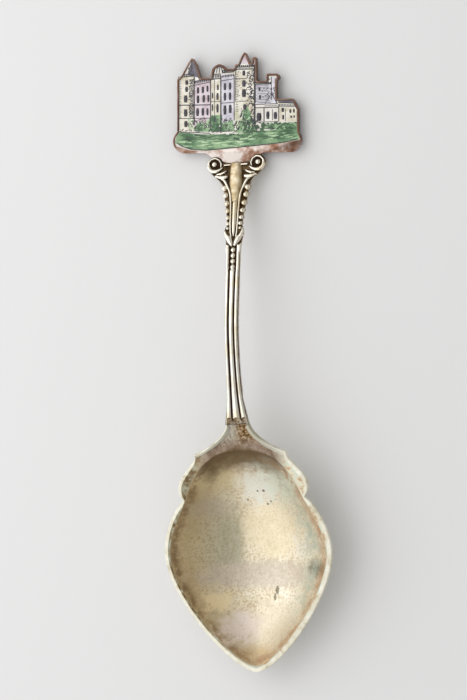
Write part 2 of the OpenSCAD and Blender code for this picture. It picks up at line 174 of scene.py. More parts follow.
def wrap(bm, across, along, place, *layers):
    """Lays a grid over a closed shape: place(i, j) gives a point and its attribute values."""
    made = bmesh.ops.create_grid(bm, x_segments=across, y_segments=along, size=1)["verts"]
    for v in made:
        i, j = round((v.co.x + 1) / 2 * across), round((v.co.y + 1) / 2 * along)
        v.co, *values = place(i, j)
        for layer, value in zip(layers, values):
            v[layer] = value
    bmesh.ops.remove_doubles(bm, verts=made, dist=1e-4)


# Each station of the section: from the deepest point out over the rim and back under to the middle.
# The zone runs from 0 to 1 up the hollow, from 1 to 2 over the flat and 2 to 3 over the lip and edge.
wall_rings = 36
section = [(hollow_point, (j / wall_rings,), j / wall_rings) for j in range(wall_rings + 1)]
section += [(flat_point, (share,), 1 + share) for share in (0.25, 0.5, 0.75)]
section += [(rim_point, (inset, 0), 2 + (lip_foot - inset))
            for inset in (lip_foot, 0.9, 0.75, 0.6, 0.45, 0.3, 0.18)]
section += [(rim_point, step, 3) for step in ((0.08, 0.03), (0.02, 0.12), (0, 0.36), (0, 0.74))]
section += [(rim_point, step, 3) for step in ((0.03, 0.94), (0.12, 1.06), (0.35, bowl_t))]
under = Vector((0, 0, -bowl_t))


def bowl_place(i, j):
    """The bowl's point on spoke i at station j, with its zone and its share of the neck."""
    spoke = i % len(outline)
    if j < len(section):
        make, arguments, zone = section[j]
        return make(spoke, *arguments), zone, neck_share(spoke)
    q = 1 - (j - len(section)) / wall_rings
    return hollow_point(spoke, q) + under, 3.5, 0


def colour(hexa):
    """An sRGB hex value as linear light."""
    parts = [int(hexa[i:i + 2], 16) / 255 for i in (1, 3, 5)]
    return [c / 12.92 if c <= 0.04045 else ((c + 0.055) / 1.055) ** 2.4 for c in parts] + [1]


def add(tree, kind, inputs=None, stops=(), out=0, **settings):
    """Adds a node with its settings and links, and returns one of its outputs."""
    made = tree.nodes.new("ShaderNode" + kind)
    for key, value in settings.items():
        setattr(made, key, value)
    for key, value in (inputs or {}).items():
        if isinstance(value, bpy.types.NodeSocket):
            tree.links.new(value, made.inputs[key])
        else:
            made.inputs[key].default_value = colour(value) if isinstance(value, str) else value
    for place, tone in stops:
        ramp = made.color_ramp.elements
        element = ramp.new(place)
        element.color = colour(tone) if isinstance(tone, str) else (tone, tone, tone, 1)
    if stops:
        ramp.remove(ramp[0])
        ramp.remove(ramp[-1])
    return made.outputs[out] if made.outputs else None


def start(name):
    """A new material and its empty node tree."""
    made = bpy.data.materials.new(name)
    made.use_nodes = True
    made.node_tree.nodes.clear()
    return made, made.node_tree


def close(tree, height=None, depth=0.02, **shader):
    """Gives a tree its surface, with an optional bump of that depth in millimetres."""
    inputs = {key.replace("_", " "): value for key, value in shader.items()}
    if height is not None:
        inputs["Normal"] = add(tree, "Bump", {"Height": height, "Distance": depth * MM})
    add(tree, "OutputMaterial", {"Surface": add(tree, "BsdfPrincipled", inputs)})


def piece(name, mesh_source, material, slot, *nodes, sharp=35):
    """Makes an object of a shape in millimetres, and puts it on the spoon in place of CAD nodes."""
    mesh = bpy.data.meshes.new(name)
    bmesh.ops.scale(mesh_source, vec=Vector((MM, MM, MM)), verts=mesh_source.verts)
    bmesh.ops.recalc_face_normals(mesh_source, faces=mesh_source.faces)
    mesh_source.to_mesh(mesh)
    mesh_source.free()
    mesh.shade_smooth()
    mesh.set_sharp_from_angle(angle=math.radians(sharp))
    mesh.materials.append(material)
    made = bpy.data.objects.new(name, mesh)
    bpy.context.scene.collection.objects.link(made)
    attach(made, "root")
    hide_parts(*nodes)


# Tarnished silver plate: the hollow is mottled straw and grey, browner up the wall, with an orange line
# under the rim, and the rim's flat is rubbed back to pale metal. Fine wiping scratches run lengthwise.
# Painted light lies in the same colour: a window's reflection across the hollow, a darker left side, and
# shade at the top of the hollow.
# Places in this material are in metres.
bowl_plate, tree = start("Tarnished_silver_plate_bowl_with_painted_light")
place = add(tree, "TexCoord", out="Object")
zone = add(tree, "Attribute", out="Fac", attribute_name="zone")
neck = add(tree, "Attribute", out="Fac", attribute_name="neck")
cloud = add(tree, "TexNoise", {"Vector": place, "Scale": 70, "Detail": 5, "Roughness": 0.6})
speck = add(tree, "TexNoise", {"Vector": place, "Scale": 480, "Detail": 4, "Roughness": 0.65})
fine = add(tree, "TexNoise", {"Vector": place, "Scale": 1900, "Detail": 3, "Roughness": 0.7})
mixed = add(tree, "MixRGB", {0: 0.45, 1: cloud, 2: speck})
tone = add(tree, "ValToRGB", {0: mixed},
           ((0.3, "#d4c9b0"), (0.43, "#eae2cf"), (0.55, "#f3eee0"), (0.7, "#f8f5ee")))
across = add(tree, "SeparateXYZ", {0: place}, out="X")
along = add(tree, "SeparateXYZ", {0: place}, out="Y")
side = add(tree, "MapRange", {0: across, 1: -0.013, 2: 0.009, 3: 0, 4: 1})
# Painted shade: the bowl's left is tinted a little darker and warmer, standing for the reflection of the
# room's dimmer side; the right is left white.
painted_left_shade = add(tree, "MixRGB", {0: side, 1: "#f0e6cf", 2: "#ffffff"})
tone = add(tree, "MixRGB", {0: 1, 1: tone, 2: painted_left_shade}, blend_type="MULTIPLY")
grain = add(tree, "ValToRGB", {0: fine}, ((0.37, "#d3c6ac"), (0.54, "#ffffff")))
tone = add(tree, "MixRGB", {0: 0.8, 1: tone, 2: grain}, blend_type="MULTIPLY")
# Painted reflection: a greener, darker patch left of the middle, with straight edges, stands for the dark
# part of a window's reflection in the hollow.
wander = add(tree, "Math", {0: speck, 1: 0.0012, 2: across}, operation="MULTIPLY_ADD")
painted_dark_reflection = add(tree, "MapRange", {0: wander, 1: -0.0034, 2: -0.0016, 3: 1, 4: 0})
for source, low, high in ((across, -0.015, -0.007), (along, -0.0458, -0.0435)):
    limit = add(tree, "MapRange", {0: source, 1: low, 2: high, 3: 0, 4: 1})
    painted_dark_reflection = add(tree, "Math", {0: painted_dark_reflection, 1: limit}, operation="MULTIPLY")
limit = add(tree, "MapRange", {0: along, 1: -0.036, 2: -0.024, 3: 0.55, 4: 0})
painted_dark_reflection = add(tree, "Math", {0: painted_dark_reflection, 1: limit}, operation="MULTIPLY")
tone = add(tree, "MixRGB", {0: painted_dark_reflection, 1: tone, 2: "#a5a592"})
# Broad patches, a few pits and one long flaw. The pale cream patch right of the middle is a painted
# reflection of a window, and the wide darker band across below it is painted reflection of the room; the rest
# are other tarnish.
# Each has a centre and half sizes in millimetres, a softness, a tone and the most it covers.
for x, y, wide, long, soft, mark_tone, most in (
        (3.8, -37.0, 6.6, 6.6, 0.4, "#f0e4c6", 0.6), (1.8, -26.6, 4.2, 4.2, 0.9, "#eef0ea", 0.7),
        (7.6, -25.5, 4.6, 5.2, 0.9, "#e3eade", 0.7), (0.0, -46.6, 13.0, 3.1, 0.5, "#cdc2b6", 0.6),
        (-8.6, -52.2, 3.9, 2.1, 0.8, "#f8e6bd", 0.7), (-3.6, -58.0, 4.8, 3.4, 0.8, "#efe2dc", 0.7),
        (4.0, -57.0, 4.6, 5.0, 0.8, "#d6ccb6", 0.6), (-8.6, -31.6, 4.4, 2.2, 0.9, "#c6baab", 0.5),
        (-8.0, -24.5, 5.0, 3.2, 0.9, "#ddcfa8", 0.5), (-1.0, -64.3, 5.5, 2.2, 0.8, "#d0b586", 0.5),
        (14.8, -45.4, 2.4, 1.5, 1.2, "#5c5440", 0.7), (2.9, -28.3, 0.3, 0.3, 0.4, "#5a4c3c", 0.8),
        (-1.0, -30.2, 0.26, 0.26, 0.4, "#5a4c3c", 0.6), (3.4, -31.3, 0.28, 0.28, 0.4, "#5a4c3c", 0.7),
        (4.2, -30.7, 0.26, 0.26, 0.4, "#5a4c3c", 0.6), (1.5, -28.3, 0.2, 0.24, 0.4, "#5a4c3c", 0.7),
        (4.2, -50.2, 0.45, 0.95, 0.6, "#6b6046", 0.8), (3.7, -51.6, 0.3, 0.8, 0.6, "#6b6046", 0.7)):
    stretch = (1 / MM / wide, 1 / MM / long, 0)
    within = add(tree, "Mapping", {0: place, 1: (-x / wide, -y / long, 0), 3: stretch})
    away = add(tree, "VectorMath", {0: within}, out="Value", operation="LENGTH")
    rough = speck if wide > 1 else fine
    ragged = add(tree, "Math", {0: rough, 1: 2.6 * soft, 2: away}, operation="MULTIPLY_ADD")
    inside = add(tree, "MapRange", {0: ragged, 1: 1 + 0.8 * soft, 2: 1 + 1.7 * soft, 3: most, 4: 0})
    tone = add(tree, "MixRGB", {0: inside, 1: tone, 2: mark_tone})
# Brown tarnish creeps up the wall in specks, most on the left, and a faint blue-green one on the right.
uneven = add(tree, "Math", {0: fine, 1: 1.3, 2: -0.9}, operation="MULTIPLY_ADD")
uneven = add(tree, "Math", {0: speck, 1: 0.9, 2: uneven}, operation="MULTIPLY_ADD")
crept = add(tree, "Math", {0: zone, 1: uneven}, operation="ADD")
crept = add(tree, "Math", {0: crept, 1: 0.5}, operation="MULTIPLY")
wall = add(tree, "ValToRGB", {0: crept}, ((0.452, 0.0), (0.53, 0.18), (0.61, 0.7)))
most_brown = add(tree, "MapRange", {0: side, 1: 0, 2: 1, 3: 0.68, 4: 0.6})
brown = add(tree, "Math", {0: wall, 1: most_brown}, operation="MULTIPLY")
tone = add(tree, "MixRGB", {0: brown, 1: tone, 2: "#a1865f"})
bloom = add(tree, "ValToRGB", {0: zone}, ((0.5, 0.0), (0.82, 0.6), (0.95, 0.0)))
on_right = add(tree, "MapRange", {0: across, 1: 0.006, 2: 0.013, 3: 0, 4: 1})
bloom = add(tree, "Math", {0: bloom, 1: on_right}, operation="MULTIPLY")
in_specks = add(tree, "ValToRGB", {0: speck}, ((0.4, 0.2), (0.55, 1.0)))
bloom = add(tree, "Math", {0: bloom, 1: in_specks}, operation="MULTIPLY")
tone = add(tree, "MixRGB", {0: bloom, 1: tone, 2: "#b4c6bc"})
# A broken line of deeper tone runs under the rim. A colour ramp reads 0 to 1, so from here the zone is
# read as a quarter of itself.
quarter = add(tree, "Math", {0: zone, 1: 0.25}, operation="MULTIPLY")
line = add(tree, "ValToRGB", {0: quarter}, ((0.222, 0.0), (0.24, 0.7), (0.256, 0.0)))
broken = add(tree, "ValToRGB", {0: speck}, ((0.42, 0.0), (0.57, 1.0)))
line = add(tree, "Math", {0: line, 1: broken}, operation="MULTIPLY")
line_tone = add(tree, "MixRGB", {0: side, 1: "#80613f", 2: "#bf9570"})
tone = add(tree, "MixRGB", {0: line, 1: tone, 2: line_tone})
# The neck's flat is dull, with rough brown scale under the handle's end, partly rubbed off on the left.
scale_tone = add(tree, "ValToRGB", {0: fine}, ((0.4, "#573c22"), (0.5, "#83663f"), (0.62, "#b3a28a")))
under_neck = add(tree, "ValToRGB", {0: quarter}, ((0.236, 0.0), (0.25, 1.0)))
under_neck = add(tree, "Math", {0: under_neck, 1: neck}, operation="MULTIPLY")
frayed = add(tree, "Math", {0: fine, 1: 0.003, 2: along}, operation="MULTIPLY_ADD")
rough_part = add(tree, "MapRange", {0: frayed, 1: -0.0166, 2: -0.0144, 3: 0, 4: 1})
smooth_tone = add(tree, "ValToRGB", {0: speck}, ((0.4, "#7c6958"), (0.6, "#9c8b7b")))
neck_tone = add(tree, "MixRGB", {0: rough_part, 1: smooth_tone, 2: scale_tone})
rubbed_off = add(tree, "MapRange", {0: across, 1: -0.0014, 2: 0.0004, 3: 0.75, 4: 0})
rubbed_off = add(tree, "Math", {0: rubbed_off, 1: rough_part}, operation="MULTIPLY")
neck_tone = add(tree, "MixRGB", {0: rubbed_off, 1: neck_tone, 2: "#b9b5a8"})
tone = add(tree, "MixRGB", {0: under_neck, 1: tone, 2: neck_tone})
# Painted shade: a dark brown band lies in the top of the hollow, where its wall turns down from the neck and
# faces away from the light. It is fainter on the right.
fuzzy = add(tree, "Math", {0: speck, 1: 0.03, 2: -0.015}, operation="MULTIPLY_ADD")
fuzzy = add(tree, "Math", {0: quarter, 1: fuzzy}, operation="ADD")
shade = add(tree, "ValToRGB", {0: fuzzy}, ((0.2, 0.0), (0.222, 0.75), (0.256, 0.8), (0.285, 0.0)))
shade = add(tree, "Math", {0: shade, 1: neck}, operation="MULTIPLY")
less_right = add(tree, "MapRange", {0: across, 1: 0.003, 2: 0.009, 3: 1, 4: 0.35})
shade = add(tree, "Math", {0: shade, 1: less_right}, operation="MULTIPLY")
tone = add(tree, "MixRGB", {0: shade, 1: tone, 2: "#6b573b"})
# The lobes' flats carry brown tarnish on the left and paler, bluer metal on the right.
left_flat = add(tree, "ValToRGB", {0: speck}, ((0.4, "#6c5a40"), (0.5, "#8c8166"), (0.6, "#a6a694")))
right_flat = add(tree, "ValToRGB", {0: speck}, ((0.38, "#c7a680"), (0.48, "#dfd8c1"), (0.62, "#cfd8cb")))
flat_tone = add(tree, "MixRGB", {0: side, 1: left_flat, 2: right_flat})
on_flat = add(tree, "ValToRGB", {0: quarter}, ((0.25, 0.0), (0.262, 1.0)))
off_neck = add(tree, "Math", {0: 1.0, 1: neck}, operation="SUBTRACT")
on_flat = add(tree, "Math", {0: on_flat, 1: off_neck}, operation="MULTIPLY")
tone = add(tree, "MixRGB", {0: on_flat, 1: tone, 2: flat_tone})
# The lip is rubbed pale. It is greyer on its inner slope, and dull beside the handle on the right.
lip_tone = add(tree, "ValToRGB", {0: speck}, ((0.3, "#c1b99f"), (0.42, "#dfdac6"), (0.7, "#f2f0e4")))
grey_slope = add(tree, "MixRGB", {0: neck, 1: lip_tone, 2: "#bdbbad"})
shift = add(tree, "Math", {0: side, 1: 0.07, 2: -0.085}, operation="MULTIPLY_ADD")
shift = add(tree, "Math", {0: fine, 1: 0.03, 2: shift}, operation="MULTIPLY_ADD")
up_lip = add(tree, "Math", {0: quarter, 1: shift}, operation="ADD")
on_slope = add(tree, "ValToRGB", {0: up_lip}, ((0.497, 0.0), (0.51, 1.0)))
tone = add(tree, "MixRGB", {0: on_slope, 1: tone, 2: grey_slope})
on_crest = add(tree, "ValToRGB", {0: quarter}, ((0.62, 0.0), (0.69, 1.0)))
beside_handle = add(tree, "MapRange", {0: along, 1: -0.0195, 2: -0.0165, 3: 0, 4: 0.8})
right_only = add(tree, "MapRange", {0: across, 1: 0, 2: 0.0015, 3: 0, 4: 1})
dull_lip = add(tree, "Math", {0: beside_handle, 1: right_only}, operation="MULTIPLY")
lip_tone = add(tree, "MixRGB", {0: dull_lip, 1: lip_tone, 2: "#a5a08a"})
tone = add(tree, "MixRGB", {0: on_crest, 1: tone, 2: lip_tone})
# Lengthwise scratches, and a gloss that is duller in the tarnish of the wall.
strokes = add(tree, "Mapping", {0: place, 3: (1, 0.03, 0.3)})
scratch = add(tree, "TexNoise", {"Vector": strokes, "Scale": 2600, "Detail": 2, "Roughness": 0.7})
bumps = add(tree, "MixRGB", {0: 0.4, 1: scratch, 2: fine})
gloss = add(tree, "ValToRGB", {0: mixed}, ((0.35, 0.6), (0.65, 0.5)))
dull = add(tree, "ValToRGB", {0: quarter}, ((0.15, 0.0), (0.24, 0.12), (0.255, 0.0)))
gloss = add(tree, "Math", {0: gloss, 1: dull}, operation="ADD")
close(tree, bumps, 0.008, Base_Color=tone, Metallic=1.0, Roughness=gloss)

bm = bmesh.new()
zone_layer = bm.verts.layers.float.new("zone")
neck_layer = bm.verts.layers.float.new("neck")
wrap(bm, len(outline), len(section) + wall_rings, bowl_place, zone_layer, neck_layer)
piece("Bowl", bm, bowl_plate, "silver_plate", "bowl")


# ---- Handle ----
# Struck from thicker silver-plated strip: three rounded ribs run up a bowed stem to a cast-look finial of
# beads, leaves and two volutes. It is soldered over the bowl's tongue. Polish has left dark patina in every
# hollow, and the high places are bright.

tab_l, tab_w, tab_t = 8, 8, 1
foot_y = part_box("handle")[1].y / MM - tab_l
handle_l = 56.6
finial_l, collar_l = 15.3, 8.1
finial_z = 3.3
stem_t = 2.2
solder_t = 0.12
collar_y = foot_y - finial_l
reeds_y = collar_y - collar_l
lap_z = rim_z(lap_y) + stem_t - bowl_t
arch_z = lap_z + 0.5
fall = arch_z - finial_z


def along_knots(knots, place):
    """A smooth curve through (place, value) knots."""
    if place <= knots[0][0]:
        return knots[0][1]
    if place >= knots[-1][0]:
        return knots[-1][1]
    k = max(i for i in range(len(knots) - 1) if knots[i][0] <= place)
    before, after = knots[max(k - 1, 0)], knots[min(k + 2, len(knots) - 1)]
    (x0, y0), (x1, y1) = knots[k], knots[k + 1]
    slope0 = (y1 - before[1]) / (x1 - before[0])
    slope1 = (after[1] - y0) / (after[0] - x0)
    span = x1 - x0
    t = (place - x0) / span
    return ((2 * t ** 3 - 3 * t * t + 1) * y0 + (t ** 3 - 2 * t * t + t) * span * slope0
            + (3 * t * t - 2 * t ** 3) * y1 + (t ** 3 - t * t) * span * slope1)


# The height of the handle's face along its length.
face_knots = [
    (neck_y, rim_z(neck_y) + solder_t + 0.6), (lap_y, lap_z), (neck_y + 15, arch_z),
    (neck_y + 22, arch_z - 0.6), (reeds_y, finial_z + fall * 0.66), (collar_y, finial_z + fall * 0.44),
    (foot_y - 6.9, finial_z + fall * 0.16), (foot_y, finial_z),
]
# The plan is given by the distance v below the badge's foot, and the half width there. The middle rib's
# half width is given in the same way, and each bead by its v, its x and its radius.
finial_knots = [
    (0, 6.5), (0.8, 6.45), (1.7, 5.9), (2.6, 5.0), (3.8, 3.75), (4.8, 3.12), (8, 2.6), (10, 2.2), (12.6, 1.9),
    (14, 1.85), (15.2, 2.13), (17.8, 1.67), (20.2, 1.53), (27, 1.5), (44.6, 1.5), (50.6, 1.7), (53.6, 2.1),
    (handle_l, neck_half_w),
]
groove_knots = [(0, 0.8), (22.6, 0.8), (24.2, 0.64), (42, 0.62), (50, 0.72), (handle_l, 1.02)]
side_beads = [
    (5.4, 2.65, 0.64), (7.0, 2.32, 0.62), (8.8, 1.97, 0.58), (10.45, 1.72, 0.52), (12.0, 1.55, 0.46),
    (13.3, 1.45, 0.42),
]
volute = Vector((4.8, 0.15))


def half_width(v):
    """The handle's half width at v, with the side beads standing out of it."""
    reach = [x + math.sqrt(r * r - (v - b) ** 2) for b, x, r in side_beads if abs(v - b) < r]
    smooth_w = along_knots(finial_knots, v)
    return max([smooth_w - 0.12 * (4.8 < v < 14)] + reach)


# Raised work as strokes: points of x, v, radius and the height of the crest over the handle's face.
raised = [[(x - 0.08, v, 1.16 * r, -0.16 + 0.016 * v)] for v, x, r in side_beads]
raised += [[(0, v, 0.62, 0.02)] for v in (19.07, 20.32, 21.57, 22.8)]
raised += [
    [(3.15, 3.45, 0.2, -0.1), (2.75, 3.55, 0.27, 0.1), (2.35, 4.0, 0.3, 0.12), (1.85, 5.0, 0.24, 0.08),
     (1.4, 6.0, 0.22, 0.08), (1.1, 7.0, 0.22, 0.08), (0.93, 8.8, 0.2, 0.06), (0.84, 10.6, 0.19, 0.03),
     (0.8, 13.3, 0.18, -0.02), (0.7, 15.3, 0.16, -0.1), (0.5, 16.4, 0.12, -0.2)],
    [(6.15, -0.3, 0.24, -0.05), (6.2, 0.6, 0.36, 0.1), (5.85, 1.25, 0.42, 0.14), (5.2, 1.62, 0.44, 0.16),
     (4.4, 1.62, 0.4, 0.14), (3.6, 1.3, 0.3, 0.06), (3.0, 0.9, 0.14, -0.1)],
    [(3.45, 0.75, 0.12, -0.3), (3.35, 0.0, 0.16, -0.25), (3.75, -0.8, 0.16, -0.25), (4.6, -1.3, 0.16, -0.25),
     (5.5, -1.1, 0.18, -0.2), (6.1, -0.5, 0.2, -0.1)],
    [(volute.x + 0.1, volute.y - 0.1, 0.62, 0.12)],
    [(4.2, 2.3, 0.2, -0.1), (3.4, 2.25, 0.3, 0.02), (2.6, 1.95, 0.26, 0.02), (2.1, 1.6, 0.12, -0.15)],
    [(4.55, 2.65, 0.2, -0.05), (3.6, 3.0, 0.36, 0.08), (2.6, 3.05, 0.48, 0.1), (2.15, 2.95, 0.4, 0.05)],
    [(6.45, 1.3, 0.12, -0.15), (5.2, 2.55, 0.14, -0.12), (4.0, 3.55, 0.13, -0.15), (3.4, 4.3, 0.12, -0.2)],
    [(0, 8.75, 0.6, 0.12), (0, 10.5, 0.56, 0.14), (0, 13.5, 0.46, 0.1), (0, 15.2, 0.3, 0.02),
     (0, 16.1, 0.1, -0.2)],
    [(1.3, 0.36, 0.2, -0.05), (2.5, 0.36, 0.22, 0.02)],
    [(2.1, 13.9, 0.16, 0.02), (2.02, 15.0, 0.3, 0.08), (1.6, 15.8, 0.3, 0.08), (0.95, 16.3, 0.18, 0.0)],
    [(1.38, 14.35, 0.36, 0.0)],
    [(1.7, 15.9, 0.4, 0.0), (1.05, 16.55, 0.72, 0.2), (0.7, 17.3, 0.6, 0.2), (0.38, 18.0, 0.32, 0.06)],
    [(1.65, 17.9, 0.2, -0.1), (1.45, 18.6, 0.36, 0.04), (1.35, 19.3, 0.26, 0.0), (1.3, 20.0, 0.12, -0.1)],
]


def stroke_height(x, v, low, dim=0):
    """The raised work's height and shine at a place of the finial's face."""
    best, shine = low, dim
    for path in raised:
        for a, b in zip(path, path[1:] or path):
            if not min(a[1], b[1]) - 0.7 < v < max(a[1], b[1]) + 0.7:
                continue
            run = Vector((b[0] - a[0], b[1] - a[1]))
            t = 0
            if run.length_squared:
                t = min(max(((x - a[0]) * run.x + (v - a[1]) * run.y) / run.length_squared, 0), 1)
            r, crest = (a[k] + t * (b[k] - a[k]) for k in (2, 3))
            d = math.hypot(x - a[0] - t * run.x, v - a[1] - t * run.y) / r
            h = crest - 1.05 * r * (1 - math.sqrt(max(1 - d * d, 0)))
            if d < 1 and h > best:
                best, shine = h, 1 - 0.8 * d ** 9
    return best, shine


def rib(d, half):
    """A rounded rib's height under its crest, and its shine, at a distance from its middle."""
    d = min(d / half, 1)
    return -0.46 * (1 - math.sqrt(1 - d * d)), 1 - 1.1 * d ** 4


# Where the ribs begin and the raised work ends, and the edge that stands on past the ribs' ends.
ribs_v, middle_rib_v, plain_v = 18, 23.3, 24
border_w = 0.34


def relief(x, v):
    """The height and the shine of the handle's worked face at a place.

    Two outer ribs run from ribs_v, and a middle one from middle_rib_v, to small arches at the handle's
    end. Past plain_v nothing is laid on them.
    """
    x = abs(x)
    half = half_width(v)
    groove = along_knots(groove_knots, v)
    end = handle_l - v
    if v > ribs_v:
        from_outer, outer_w = abs(x - (groove + half) / 2), (half - groove) / 2
        middle = rib(x, groove - 0.02) if v > middle_rib_v else (-0.55, 0)
        if middle_rib_v < v < plain_v:
            drop = 0.35 * (1 - math.sqrt(1 - (plain_v - v) ** 2 / 0.49))
            middle = (middle[0] - drop, middle[1] * (1 - drop))
        ground, shine = max(middle, rib(from_outer, outer_w + 0.01))
        if v > middle_rib_v:
            shine = min(shine, 1 - 1.05 * max(1 - ((x - groove) / 0.3) ** 2, 0))
        across = x / groove if x < groove else from_outer / outer_w
        arch = 0.35 + 1.1 * math.sqrt(max(1 - across ** 2, 0))
        if end < arch and half - x > border_w:
            ground, shine = -0.42 - 0.1 * (1 - end / arch), 0.32
        ground -= 0.2 * max(1 - end / 0.9, 0) if half - x <= border_w else 0
    else:
        column = 1.26 + 0.07 * min(v, 4) - 0.14 * max(v - 4.3, 0)
        ground, shine = -0.62, 0.18
        if x < column and v < 8.6:
            across = 1 - math.sqrt(1 - (x / column) ** 2)
            ground = 0.02 - 0.55 * across - 0.2 * max(v - 7.6, 0) ** 2
            shine = 0.57 - 0.3 * across
    if v < plain_v:
        return stroke_height(x, v, ground, shine)
    return ground, shine


# Rows lie close together over the finial and at the ribs' end, and wide apart down the plain stem.
row_places = [0.115 * k for k in range(218)] + [25.1 + 0.95 * k for k in range(31)]
row_places += [54.6 + 0.1 * k for k in range(20)] + [handle_l]
rows = [foot_y - v for v in row_places]
top_cols, side_cols, back_cols = 112, 4, 12
around = top_cols + back_cols + 2 * side_cols
side_shine, back_shine = 0.62, 0.7
edge_drop = 0.25


def handle_place(i, j):
    """The section's point i, over the face from left to right and back under, on row j."""
    y = rows[j]
    v = foot_y - y
    half = half_width(v)
    face = along_knots(face_knots, y)
    thick = stem_t + 0.2 * max(1 - v / 6, 0)
    i %= around
    if i <= top_cols:
        a = -1 + 2 * i / top_cols
        x = a * half
        h, shine = relief(x * 0.999, v)
        return Vector((x, y, face + h - edge_drop * max(abs(a) - 0.96, 0) / 0.04)), shine
    back = face - thick
    if y < lap_y:
        back = rim_z(y) + solder_t
    high = face + relief(half * 0.999, v)[0] - edge_drop
    i -= top_cols
    if i < side_cols:
        share = i / side_cols
        return Vector((half, y, high + share * (back + 0.5 - high))), side_shine
    i -= side_cols
    if i <= back_cols:
        a = 1 - 2 * i / back_cols
        return Vector((a * half * 0.97, y, max(back + (0.5 * a * a if y > lap_y else 0), 0))), back_shine
    share = (i - back_cols) / side_cols
    return Vector((-half, y, back + 0.5 + share * (high - back - 0.5))), side_shine


# Aged silver plate on the handle: brown-black patina holds in the low places, and the crests are cream
# bright where cloths have rubbed them. The stem's patina is redder, and below the ribs' ends it is dull.
worn_plate, tree = start("Patinated_silver_plate_handle")
place = add(tree, "TexCoord", out="Object")
depth = add(tree, "Attribute", out="Fac", attribute_name="shine")
speck = add(tree, "TexNoise", {"Vector": place, "Scale": 900, "Detail": 4, "Roughness": 0.6})
cloud = add(tree, "TexNoise", {"Vector": place, "Scale": 160, "Detail": 3})
uneven = add(tree, "Math", {0: speck, 1: 0.5, 2: -0.27}, operation="MULTIPLY_ADD")
level = add(tree, "Math", {0: depth, 1: uneven}, operation="ADD")
tone = add(tree, "ValToRGB", {0: level},
           ((0.08, "#33261b"), (0.28, "#7c6548"), (0.5, "#b5a484"), (0.8, "#efe9da")))
upward = add(tree, "SeparateXYZ", {0: place}, out="Y")
on_stem = add(tree, "MapRange", {0: upward, 1: (foot_y - 38) * MM, 2: (foot_y - 20) * MM, 3: 1, 4: 0})
above_end = add(tree, "MapRange", {0: upward, 1: (foot_y - 55.6) * MM, 2: (foot_y - 54.9) * MM, 3: 0, 4: 1})
on_stem = add(tree, "Math", {0: on_stem, 1: above_end}, operation="MULTIPLY")
stem_tone = add(tree, "ValToRGB", {0: level},
                ((0.2, "#543a36"), (0.42, "#836c63"), (0.6, "#bfb9ae"), (0.82, "#eeede3")))
tone = add(tree, "MixRGB", {0: on_stem, 1: tone, 2: stem_tone})
end_tone = add(tree, "ValToRGB", {0: speck}, ((0.42, "#6f583f"), (0.56, "#aaa193")))
below_ribs = add(tree, "MapRange", {0: level, 1: 0.45, 2: 0.62, 3: 1, 4: 0})
below_ribs = add(tree, "MixRGB", {0: above_end, 1: below_ribs, 2: (0, 0, 0, 1)})
tone = add(tree, "MixRGB", {0: below_ribs, 1: tone, 2: end_tone})
tint = add(tree, "ValToRGB", {0: cloud}, ((0.33, "#ece1ca"), (0.52, "#ffffff")))
toned = add(tree, "MixRGB", {0: 1, 1: tone, 2: tint}, blend_type="MULTIPLY")
gloss = add(tree, "ValToRGB", {0: level}, ((0.2, 0.55), (0.7, 0.2)))
close(tree, speck, 0.012, Base_Color=toned, Metallic=1.0, Roughness=gloss)

bm = bmesh.new()
shine_layer = bm.verts.layers.float.new("shine")
wrap(bm, around, len(rows) - 1, handle_place, shine_layer)
bmesh.ops.holes_fill(bm, edges=[e for e in bm.edges if e.is_boundary], sides=0)


# The volutes: their radius, the mesh's spokes and rings, and the heights of the rings under the face.
volute_r = 1.7
volute_spokes, face_rings, volute_rings = 72, 26, 30
under_rings = (1.9, 1.5, 1.3, 1.3)


def volute_place(i, j):
    """A point of a volute: spokes around, and rings out over its face, down its side and under it."""
    angle = 2 * math.pi * i / volute_spokes
    r = volute_r * min(j / face_rings, 1) if j < volute_rings else 0
    x, v = volute.x + r * math.cos(angle), volute.y - r * math.sin(angle)
    face = along_knots(face_knots, foot_y - v)
    if j <= face_rings:
        h, shine = stroke_height(x, v, -0.5)
        return Vector((x, foot_y - v, face + h - (0.1 if j == face_rings else 0))), shine
    return Vector((x, foot_y - v, under_rings[j - face_rings - 1])), 0.6


scroll = bmesh.new()
scroll_layer = scroll.verts.layers.float.new("shine")
wrap(scroll, volute_spokes, volute_rings, volute_place, scroll_layer)
one_side = scroll.verts[:] + scroll.edges[:] + scroll.faces[:]
bmesh.ops.mirror(scroll, geom=one_side, axis="X", merge_dist=0)
# The flat tab behind the badge.
tab = bmesh.ops.create_cube(scroll, size=1)["verts"]
for v in tab:
    v[scroll_layer] = back_shine
tab_place = Matrix.Translation((0, foot_y + tab_l / 2 - 0.5, tab_t / 2))
tab_place @= Matrix.Diagonal((tab_w, tab_l + 1, tab_t, 1))
bmesh.ops.transform(scroll, matrix=tab_place, verts=tab)
tab_edges = list({e for v in tab for e in v.link_edges})
bmesh.ops.bevel(scroll, geom=tab_edges, offset=0.15, segments=2, profile=0.5, affect="EDGES", material=-1)
piece("Handle", bm, worn_plate, "silver_plate", "handle")
piece("Handle_volutes", scroll, worn_plate, "silver_plate")


# ---- Solder ----
# Soft solder holds the bowl under the handle's lap, and the badge on the handle's tab. Thin grey films.

solder, tree = start("Soft_solder")
place = add(tree, "TexCoord", out="Object")
grain = add(tree, "TexNoise", {"Vector": place, "Scale": 1500, "Detail": 3})
tone = add(tree, "ValToRGB", {0: grain}, ((0.35, "#7d7a74"), (0.65, "#a9a59c")))
close(tree, grain, 0.02, Base_Color=tone, Metallic=1.0, Roughness=0.45)
for node in ("bowl_solder", "badge_solder"):
    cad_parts[node].data.materials.clear()
    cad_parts[node].data.materials.append(solder)


# ---- Badge plate ----
# Stamped copper plate cut to the castle's skyline, with a thin raised border that holds the enamel.
# Its edge and the bare lip at the foot are worn copper with the last of a silver wash.

